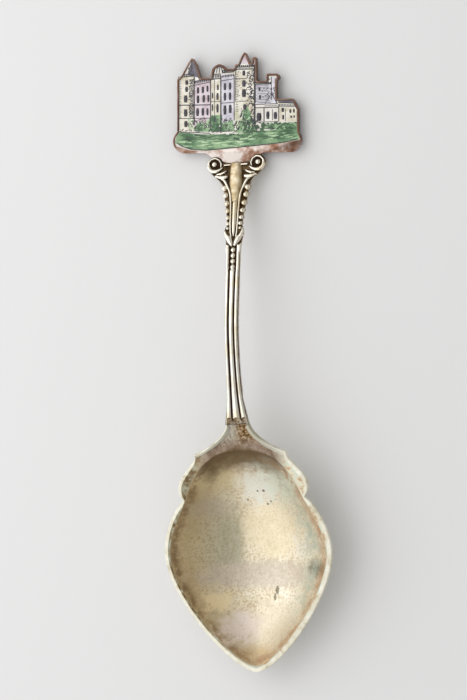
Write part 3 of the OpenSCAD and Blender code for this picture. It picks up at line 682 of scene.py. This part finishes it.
badge_turn = Matrix.Translation((0, foot_y, 0)) @ Matrix.Rotation(math.radians(-3), 4, "Z")
copper, tree = start("Worn_copper_stamping")
place = add(tree, "TexCoord", out="Object")
cloud = add(tree, "TexNoise", {"Vector": place, "Scale": 220, "Detail": 4, "Roughness": 0.65})
grain = add(tree, "TexNoise", {"Vector": place, "Scale": 1400, "Detail": 3})
tone = add(tree, "ValToRGB", {0: cloud}, ((0.36, "#6d4937"), (0.47, "#9d7c6b"), (0.6, "#d4cac4")))
upward = add(tree, "SeparateXYZ", {0: place}, out="Y")
border = add(tree, "MapRange", {0: upward, 1: (foot_y + 2.6) * MM, 2: (foot_y + 4.6) * MM, 3: 0, 4: 0.85})
tone = add(tree, "MixRGB", {0: border, 1: tone, 2: "#624738"})
close(tree, grain, 0.015, Base_Color=tone, Metallic=1.0, Roughness=0.3)

bm = bmesh.new()
bm.from_mesh(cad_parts["badge_plate"].data)
bmesh.ops.scale(bm, vec=Vector((1 / MM, 1 / MM, 1 / MM)), verts=bm.verts)
bmesh.ops.remove_doubles(bm, verts=bm.verts, dist=1e-3)
bmesh.ops.dissolve_limit(bm, angle_limit=math.radians(3), verts=bm.verts, edges=bm.edges)
# The stamping's edges are softened.
level_edges = [e for e in bm.edges if abs(e.verts[0].co.z - e.verts[1].co.z) < 0.01]
corners = [e for e in level_edges if e.calc_face_angle(0) > 0.6]
bmesh.ops.bevel(bm, geom=corners, offset=0.08, segments=2, profile=0.5, affect="EDGES", material=-1,
                clamp_overlap=True)
piece("Badge_plate", bm, copper, "copper", "badge_plate")


# ---- Enamel ground ----
# Opaque white enamel fills the plate behind the picture. It is fired glass, so it is glossy and slightly
# uneven, and its white has gone a little cream.


def enamel(name, low, high, scale=350, gloss=0.16):
    """A fired enamel: hand laid, so its colour pools between two tones and its gloss is a little wavy."""
    made, tree = start(name)
    place = add(tree, "TexCoord", out="Object")
    pool = add(tree, "TexNoise", {"Vector": place, "Scale": scale, "Detail": 4, "Roughness": 0.6})
    wave = add(tree, "TexNoise", {"Vector": place, "Scale": 300, "Detail": 1})
    tone = add(tree, "ValToRGB", {0: pool}, ((0.36, low), (0.62, high)))
    close(tree, wave, 0.05, Base_Color=tone, Roughness=gloss, IOR=1.52)
    return made


white = enamel("Fired_white_enamel", "#d9d4cb", "#f1ede6")
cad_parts["enamel_ground"].data.materials.clear()
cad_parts["enamel_ground"].data.materials.append(white)


# ---- Enamel picture ----
# A castle among trees, brushed over the white ground in thin coloured enamels and fired, then drawn in dark
# vitreous ink. Nothing is lettered on it. Each colour is a separate thin layer of glass.

random.seed(4)
blunt = 0.75


def trace(paths, low, high, filled=False):
    """Lays strokes of (points, width), or filled outlines, on the badge between two heights.

    A stroke is narrower at its ends, by the share called blunt.
    """
    drawing = bpy.data.curves.new("Drawing", "CURVE")
    drawing.dimensions = "2D" if filled else "3D"
    drawing.fill_mode = "BOTH" if filled else "FULL"
    drawing.bevel_resolution = 1
    if filled:
        drawing.extrude = 0.5
    else:
        drawing.bevel_depth = 1
    for path in paths:
        points, width = (path, 1) if filled else path
        spline = drawing.splines.new("POLY")
        spline.points.add(len(points) - 1)
        spline.use_cyclic_u = filled
        for k, (point, (x, y)) in enumerate(zip(spline.points, points)):
            point.co = (x, y, 0, 1)
            point.radius = width / 2 * (blunt if k in (0, len(points) - 1) else 1)
    holder = bpy.data.objects.new("Drawing", drawing)
    bpy.context.scene.collection.objects.link(holder)
    ready = holder.evaluated_get(bpy.context.evaluated_depsgraph_get())
    mesh = bpy.data.meshes.new_from_object(ready)
    bm = bmesh.new()
    bm.from_mesh(mesh)
    bpy.data.objects.remove(holder)
    bpy.data.curves.remove(drawing)
    bpy.data.meshes.remove(mesh)
    bmesh.ops.remove_doubles(bm, verts=bm.verts, dist=1e-3)
    deepest = max(v.co.z for v in bm.verts)
    for v in bm.verts:
        v.co.z = (low + high) / 2 + v.co.z / deepest * (high - low) / 2
    bmesh.ops.transform(bm, matrix=badge_turn, verts=bm.verts)
    return bm


def streaks(count, x, y, length, width, lean, curl):
    """Random brush marks in a patch: x and y are its ranges, and lean turns the marks from level.

    The curl says how much they bend, and how far they stray from the lean.
    """
    made = []
    for _ in range(count):
        px, py = random.uniform(*x), random.uniform(*y)
        reach = length * random.uniform(0.5, 1)
        turn = math.radians(lean + random.uniform(-1, 1) * 75 * curl)
        dx, dy = reach / 2 * math.cos(turn), reach / 2 * math.sin(turn)
        bend = random.uniform(-curl, curl) * reach / 2
        points = [(px - dx, py - dy), (px - bend * 0.3, py + bend), (px + dx, py + dy)]
        made.append((points, width * random.uniform(0.6, 1.2)))
    return made


def box(x0, y0, x1, y1):
    """A rectangle's outline from two of its corners."""
    return [(x0, y0), (x1, y0), (x1, y1), (x0, y1)]


# Heights over the table, and then plans in millimetres right of the badge's middle and above its foot.
field_low, field_high, ink_high = 2.2, 2.27, 2.32

stone = [
    box(-13.2, 6.9, -9.7, 19.2), box(-5.75, 8, -3.6, 18.6), box(-0.5, 8, 4.0, 20.7),
    box(9.4, 8.9, 13.6, 11.9),
    [(9.3, 12.6), (13.2, 12.3), (13.2, 12.9), (9.3, 13)],
]
piece("Enamel_sandstone", trace(stone, field_low, field_high, True),
      enamel("Fired_stone_yellow_enamel", "#cbc2a9", "#efebe0", 420), "sandstone_enamel", "enamel_sandstone")
rose = [
    box(-9.7, 8, -6.0, 18.1), [(0.5, 21.6), (1.0, 22.9), (1.8, 24.1), (2.4, 22.9), (3.0, 21.6)],
    [(3.65, 20.7), (4.35, 20.7), (4.3, 22.6), (4.0, 22.9), (3.7, 22.6)],
]
piece("Enamel_rose", trace(rose, field_low, field_high, True),
      enamel("Fired_rose_enamel", "#c2abb3", "#e3d9df", 420), "rose_enamel", "enamel_rose")
lilac = [box(-3.6, 8.4, -0.6, 19.3), box(4.15, 12.8, 7.7, 17.0), box(7.8, 12.9, 8.8, 18.4)]
piece("Enamel_lilac", trace(lilac, field_low, field_high, True),
      enamel("Fired_lilac_enamel", "#bdb8c4", "#e6e3ea", 420), "rose_enamel")
slate = [
    [(-11.3, 19.5), (-10.6, 21.3), (-10.1, 22.9), (-9.3, 21.6), (-8.7, 20.1), (-8.4, 18.7)],
    [(9.3, 13.0), (13.2, 12.9), (12.6, 13.6), (9.3, 13.7)],
]
piece("Enamel_slate", trace(slate, field_low, field_high, True),
      enamel("Fired_slate_enamel", "#2f2c35", "#6f6b77", 520), "slate_enamel", "enamel_slate")

lawn = [[(-14.0, 4.6), (-13.6, 6.2), (-12.9, 6.9), (-8, 6.4), (-2, 6.2), (3, 6.6), (9, 7.2), (13.6, 7.4),
         (14.2, 6.0), (13.9, 4.9), (10.4, 4.25), (6, 3.75), (2, 3.4), (-3, 3.05), (-7, 2.8), (-10.5, 3.1),
         (-12.6, 3.8)]]
wash = [
    [(-0.4, 6.6), (1.2, 9.6), (1.8, 12.4), (2.6, 12.0), (3.6, 9.6), (4.6, 7.6), (4.6, 6.7)],
    box(-11.1, 7, -9.8, 11.4),
    [(-9.4, 7), (-9, 9), (-7, 8.6), (-5.8, 10.4), (-3.6, 10.6), (-3.2, 8.6), (-0.9, 9.4), (-0.5, 7),
     (-5, 6.9)],
    [(5, 7.3), (7, 8.4), (13.4, 8.7), (13.5, 7.5), (9, 7.3)],
]
piece("Enamel_lawn", trace(lawn + wash, field_low, field_high, True),
      enamel("Fired_lawn_enamel", "#3a6a41", "#93b488", 330), "lawn_enamel", "enamel_lawn")

# Brushed marks, patch by patch: how many, the patch's x and y, and their length, width, lean and curl.
shrub_marks = [mark for patch in (
    (70, (-12.6, 3.0), (5.2, 6.3), 2.6, 0.34, 0, 0.08), (60, (2.0, 13.2), (5.0, 6.9), 2.4, 0.34, 3, 0.1),
    (16, (-11.5, 3.5), (3.5, 5.0), 2.6, 0.24, 0, 0.08), (60, (4.6, 13.3), (7.2, 8.6), 1.0, 0.4, 0, 0.5),
    (46, (1.4, 4.6), (6.4, 8.6), 0.9, 0.34, 30, 0.6), (46, (-0.2, 3.8), (7.0, 9.2), 1.0, 0.34, 60, 0.5),
    (30, (0.7, 3.2), (8.8, 11.8), 1.0, 0.3, 60, 0.5), (30, (-5.8, -3.4), (7.2, 10.6), 0.9, 0.34, 80, 0.6),
    (24, (-11.2, -9.8), (7.0, 11.4), 0.9, 0.3, 80, 0.5),
    (34, (-9.4, -6.0), (7.2, 9.2), 0.9, 0.34, 60, 0.7), (24, (-3.2, -0.6), (7.2, 9.6), 0.9, 0.3, 70, 0.6),
) for mark in streaks(*patch)]
piece("Enamel_shrubs", trace(shrub_marks, field_low, field_high + 0.02),
      enamel("Fired_shrub_green_enamel", "#1d4228", "#426c40", 500), "shrub_enamel", "enamel_shrubs")
light_marks = [mark for patch in (
    (26, (-12.8, 2), (3.6, 5.4), 2.2, 0.3, 0, 0.06), (20, (2, 13), (5.0, 6.6), 1.8, 0.24, 4, 0.1),
    (26, (-0.4, 3.6), (7.4, 11.4), 0.8, 0.22, 60, 0.5), (14, (-11, -9.8), (7.4, 10), 0.8, 0.22, 80, 0.5),
    (14, (-8.2, -6.2), (8, 9.6), 0.8, 0.22, 80, 0.5), (12, (6, 13), (7.4, 8.4), 0.8, 0.2, 10, 0.5),
) for mark in streaks(*patch)]
piece("Enamel_lawn_lights", trace(light_marks, field_low + 0.02, field_high + 0.03),
      enamel("Fired_pale_green_enamel", "#93b98a", "#c6dcb6", 500), "lawn_enamel")

# Ink strokes are points and a width. First the upright lines: x, foot, head and width.
ink = [([(x, y0), (x, y1)], w) for x, y0, y1, w in (
    (-13.25, 7.2, 19.1, 0.16), (-9.66, 8.4, 19.0, 0.3), (-5.95, 7.6, 18.3, 0.24), (-5.05, 9, 18.4, 0.14),
    (-3.62, 6.6, 18.9, 0.3), (-0.62, 9.4, 19.2, 0.2), (-0.35, 13.4, 20.4, 0.14), (3.95, 8.4, 21.4, 0.3),
    (4.2, 13, 17, 0.16), (7.75, 13.6, 18.6, 0.18), (8.85, 12.9, 18.4, 0.26), (4.1, 8.9, 12.8, 0.2),
    (6.1, 9.0, 12.0, 0.22), (8.0, 9.2, 11.6, 0.12), (9.4, 9.0, 12.6, 0.2), (10.9, 9.0, 11.6, 0.14),
    (3.55, 21.0, 22.6, 0.2), (4.42, 20.9, 22.6, 0.16),
)]
# Courses, eaves, gables and paths: two ends and a width.
ink += [([(x0, y0), (x1, y1)], w) for x0, y0, x1, y1, w in (
    (-13.2, 12.85, -6.0, 12.8, 0.26), (-13.3, 9.93, -5.9, 9.9, 0.16), (-13.0, 18.95, -9.7, 19.15, 0.2),
    (-12.0, 19.55, -9.6, 19.6, 0.14), (-9.6, 17.15, -5.95, 17.8, 0.2), (-9.6, 18.0, -6.0, 18.45, 0.22),
    (-5.9, 18.4, -3.6, 18.5, 0.26), (-5.8, 19.4, -3.6, 19.5, 0.2), (-3.6, 17.95, -0.6, 18.4, 0.18),
    (-3.4, 19.7, -0.6, 19.9, 0.24), (-3.6, 13.1, -0.7, 13.25, 0.16), (-6, 13.5, -3.6, 13.5, 0.12),
    (-0.4, 18.4, 2.2, 18.35, 0.16), (0.4, 13.45, 2.4, 13.45, 0.16), (-0.3, 20.4, 4.0, 20.4, 0.24),
    (0.0, 20.9, 4.0, 20.95, 0.16), (4.1, 17.05, 7.7, 17.05, 0.2), (4.1, 12.7, 6.4, 12.7, 0.16),
    (4.1, 11.95, 9.3, 12.0, 0.2), (6.2, 12.75, 9.2, 12.75, 0.16), (9.3, 13.0, 13.4, 12.75, 0.22),
    (9.4, 12.2, 13.4, 12.1, 0.14), (9.3, 13.75, 12.7, 13.7, 0.16), (4.2, 8.85, 9.4, 8.9, 0.12),
    (6.7, 19.2, 7.6, 19.3, 0.2), (6.7, 18.2, 7.5, 18.1, 0.2), (8.0, 19.2, 9.2, 19.2, 0.22),
    (6.3, 12.8, 7.7, 14.9, 0.14), (7.8, 14.9, 9.1, 12.8, 0.14), (-13.1, 7.0, -9.0, 6.8, 0.18),
    (-9.0, 6.8, -6.4, 6.6, 0.18), (-3.4, 6.9, -1.0, 7.0, 0.16), (-6.4, 6.7, -5.8, 6.2, 0.16),
    (-0.9, 6.6, 2.0, 8.6, 0.14), (4.1, 9.2, 6.8, 7.9, 0.16), (-8.3, 18.9, -9.1, 20.9, 0.16),
    (-12.1, 19.6, -11.0, 21.9, 0.12), (0.5, 21.6, 1.2, 23.0, 0.12), (2.9, 21.7, 2.3, 22.9, 0.14),
)]
# The dome, and the ribs down from its crown.
dome = [(-5.7, 19.6), (-5.5, 20.5), (-4.9, 21.2), (-4.0, 21.5), (-3.2, 21.1), (-2.7, 20.4), (-2.4, 19.9)]
crown_x = -3.95
ink.append((dome, 0.18))
ink += [([(crown_x, 21.4), (crown_x + 0.75 * k, 20.6), (crown_x + k, 19.7)], 0.14)
        for k in (-1.4, -0.7, 0, 0.7, 1.3)]
# Battlements: rows of short upright strokes between two ends.
for x0, y0, x1, y1, count, high, width in (
    (-9.4, 17.75, -6.1, 18.25, 9, 0.42, 0.24), (-12.3, 19.25, -9.8, 19.35, 7, 0.3, 0.2),
    (-5.7, 19.0, -3.7, 19.0, 6, 0.5, 0.2), (-3.3, 18.9, -0.8, 19.2, 8, 0.42, 0.2),
    (-3.2, 20.1, -0.8, 20.3, 7, 0.4, 0.26), (0.15, 21.1, 3.8, 21.1, 9, 0.3, 0.26),
    (-0.1, 20.65, 3.8, 20.65, 13, 0.2, 0.12), (4.3, 17.4, 7.5, 17.3, 8, 0.3, 0.3),
    (9.6, 12.5, 13.1, 12.4, 11, 0.26, 0.16), (6.4, 12.35, 9.0, 12.35, 9, 0.2, 0.12),
):
    for k in range(count):
        t = k / (count - 1)
        x, y = x0 + t * (x1 - x0), y0 + t * (y1 - y0)
        ink.append(([(x, y - high * 0.6), (x, y + high * 0.6)], 1.3 * width))
# Windows: centre, width and height.
for x, y, wide, high in (
    (-11.35, 17.8, 0.6, 1.0), (-11.4, 16.3, 0.6, 1.15), (-11.6, 14.2, 0.75, 1.55),
    (-11.6, 11.15, 0.75, 1.55), (-11.55, 8.7, 0.7, 1.3), (-8.8, 16.0, 0.5, 1.35), (-7.7, 16.1, 0.5, 1.4),
    (-6.65, 16.35, 0.42, 1.35), (-8.8, 14.05, 0.55, 1.7), (-7.5, 14.15, 0.52, 1.6),
    (-6.45, 14.2, 0.42, 1.5), (-8.9, 11.25, 0.6, 1.7), (-7.7, 11.3, 0.55, 1.6), (-6.65, 11.3, 0.45, 1.5),
    (-5.5, 14.8, 0.28, 1.3), (-4.37, 14.6, 0.46, 1.5), (-4.3, 16.6, 0.4, 1.2), (-5.5, 12.2, 0.28, 1.5),
    (-4.37, 12.0, 0.46, 1.8), (-2.7, 16.7, 0.52, 1.5), (-1.55, 16.8, 0.52, 1.5), (-2.7, 14.5, 0.52, 1.7),
    (-1.55, 14.6, 0.52, 1.6), (-2.7, 11.6, 0.6, 2.0), (-1.5, 11.8, 0.6, 1.8), (1.57, 19.55, 0.6, 1.1),
    (1.6, 17.3, 0.75, 1.4), (1.6, 15.2, 0.85, 1.7), (1.75, 12.2, 0.6, 1.2), (5.1, 16.0, 0.4, 0.8),
    (5.2, 14.2, 0.4, 0.9), (4.97, 9.95, 0.95, 1.7), (6.96, 10.3, 0.62, 1.6), (8.64, 10.2, 0.66, 1.5),
    (10.3, 11.4, 0.5, 0.9), (10.4, 9.8, 0.4, 1.0), (12.0, 11.1, 0.4, 0.8), (12.8, 11.15, 0.36, 0.8),
    (12.2, 9.85, 0.4, 0.5), (12.85, 9.9, 0.3, 0.5),
):
    ink.append(([(x, y - high / 2), (x, y), (x, y + high / 2)], wide))
# The skyline, and the line round the lawn.
edges = [
    [(-13.1, 7.4), (-13.1, 18.5), (-12.0, 19.6), (-10.8, 21.8), (-10.1, 22.7), (-9.5, 21.7), (-9.0, 20.1),
     (-8.5, 18.3), (-5.3, 18.3), (-5.3, 19.4), (-4.9, 20.7), (-3.9, 21.2), (-2.9, 20.7), (-2.3, 20.1),
     (-0.1, 20.1), (-0.1, 21.1), (0.65, 21.3), (1.3, 22.8), (1.85, 23.7), (2.1, 22.9), (2.85, 21.2),
     (3.85, 21.1), (3.85, 22.4), (4.1, 22.6), (4.15, 17.3), (7.05, 17.3), (7.1, 18.9), (9.0, 18.9),
     (9.1, 18.4), (8.6, 18.0), (8.6, 13.4), (12.5, 13.4), (13.1, 12.2), (13.5, 11.4), (13.5, 7.3)],
    [(-13.6, 4.6), (-12.5, 3.85), (-10.5, 3.2), (-7, 2.95), (2, 3.55), (10.6, 4.4), (13.6, 5.0)],
]
ink += [(path, 0.15) for path in edges]
# Ends of stone courses at three corners, then random hatching.
for k in range(24):
    y = 18.4 - k * 0.36
    ink.append(([(-13.1, y), (-12.75 + 0.1 * (k % 3), y - 0.04)], 0.13))
    ink.append(([(-10.9 + 0.3 * (k % 2), y), (-10.2, y - 0.25), (-9.75, y + 0.1)], 0.16))
    ink.append(([(-0.3, y + 1.2), (0.1 + 0.15 * (k % 3), y + 1.2)], 0.13))
for patch in (
    (80, (2.2, 3.8), (12.2, 20.2), 0.5, 0.17, 40, 1.2), (70, (2.8, 3.9), (9.0, 20.0), 0.5, 0.19, 60, 1.2),
    (50, (-10.8, -9.8), (8.6, 18.4), 0.6, 0.16, 70, 0.8), (14, (0.0, 1.0), (13.4, 20), 0.3, 0.13, 20, 1),
):
    ink += streaks(*patch)
# Courses across the low wing.
for k in range(13):
    y = 16.7 - 0.33 * k
    ink.append(([(4.3 + 0.3 * (k % 2), y), (7.2 + 0.25 * (k % 3), y)], 0.12))
for patch in (
    (26, (5.6, 8.8), (12.9, 16.4), 0.5, 0.14, 80, 0.5), (60, (-0.4, 4.6), (6.4, 9.6), 0.8, 0.13, 40, 1),
    (16, (0.8, 3.4), (9.4, 12.4), 0.8, 0.13, 60, 0.8), (70, (-9.6, -3.2), (6.8, 9.8), 0.7, 0.13, 70, 1),
    (22, (-3.2, -0.6), (7.0, 9.6), 0.7, 0.13, 70, 1), (24, (5.5, 13.2), (7.2, 8.7), 0.5, 0.12, 20, 1),
    (12, (-13, -11), (7.0, 7.6), 0.3, 0.12, 60, 1), (16, (-11.0, -9.8), (19.8, 21.6), 0.5, 0.14, 70, 0.3),
    (14, (-12.5, 13), (4.6, 6.4), 1.4, 0.1, 0, 0.1),
):
    ink += streaks(*patch)
# All of it is laid a little heavier than it's listed.
heavier = 1.2
ink = [(points, heavier * width) for points, width in ink]
piece("Enamel_keylines", trace(ink, field_low + 0.04, ink_high),
      enamel("Fired_ink_black_enamel", "#1e1b22", "#36313b", 600), "keyline_enamel", "enamel_keyline")


# ---- Table, light and camera ----
# A plain pale surface, soft panels on the left and one far off, and an even fill from all round.

scene = bpy.context.scene
scene.view_settings.view_transform = "Standard"
paper, tree = start("Pale_table")
close(tree, Base_Color="#e4e4e5", Roughness=0.7)
bm = bmesh.new()
bmesh.ops.create_grid(bm, x_segments=1, y_segments=1, size=1.5)
table = bpy.data.objects.new("Table", bpy.data.meshes.new("Table"))
bm.to_mesh(table.data)
bm.free()
table.data.materials.append(paper)
table.location.z = -0.02 * MM
scene.collection.objects.link(table)

world = bpy.data.worlds.new("Room")
world.use_nodes = True
fill_light = world.node_tree.nodes["Background"].inputs
fill_light["Color"].default_value = (1, 0.99, 0.97, 1)
fill_light["Strength"].default_value = 0.535
scene.world = world


def soft_light(name, place, size, watts):
    """A square area light that faces the spoon. Its place and size are in metres."""
    light = bpy.data.lights.new(name, "AREA")
    light.size = size
    light.energy = watts
    made = bpy.data.objects.new(name, light)
    made.location = place
    made.rotation_euler = Vector(place).to_track_quat("Z", "Y").to_euler()
    scene.collection.objects.link(made)


soft_light("Window", (-0.3, 0.0, 0.26), 0.7, 1.2)
soft_light("Second_window", (-0.22, 0.3, 0.34), 0.6, 0.75)
soft_light("Far_window", (-0.2, -1.2, 0.8), 1.6, 3.8)

# The camera looks down from a little to the right, along a line that meets the table at aim.
tilt, roll, distance = math.radians(15), math.radians(2.9), 0.6
aim = Vector((-3.5, 2.5, 0)) * MM
back = Vector((math.sin(tilt), 0, math.cos(tilt)))
level_x = Vector((math.cos(tilt), 0, -math.sin(tilt)))
right = level_x * math.cos(roll) - Vector((0, 1, 0)) * math.sin(roll)
above = Vector((0, 1, 0)) * math.cos(roll) + level_x * math.sin(roll)
camera = bpy.data.objects.new("Camera", bpy.data.cameras.new("Camera"))
camera.data.sensor_fit = "VERTICAL"
camera.data.sensor_height = 36
camera.data.lens = 140.8
turned = Matrix((right, above, back)).transposed().to_4x4()
camera.matrix_world = Matrix.Translation(aim + distance * back) @ turned
scene.collection.objects.link(camera)
scene.camera = camera
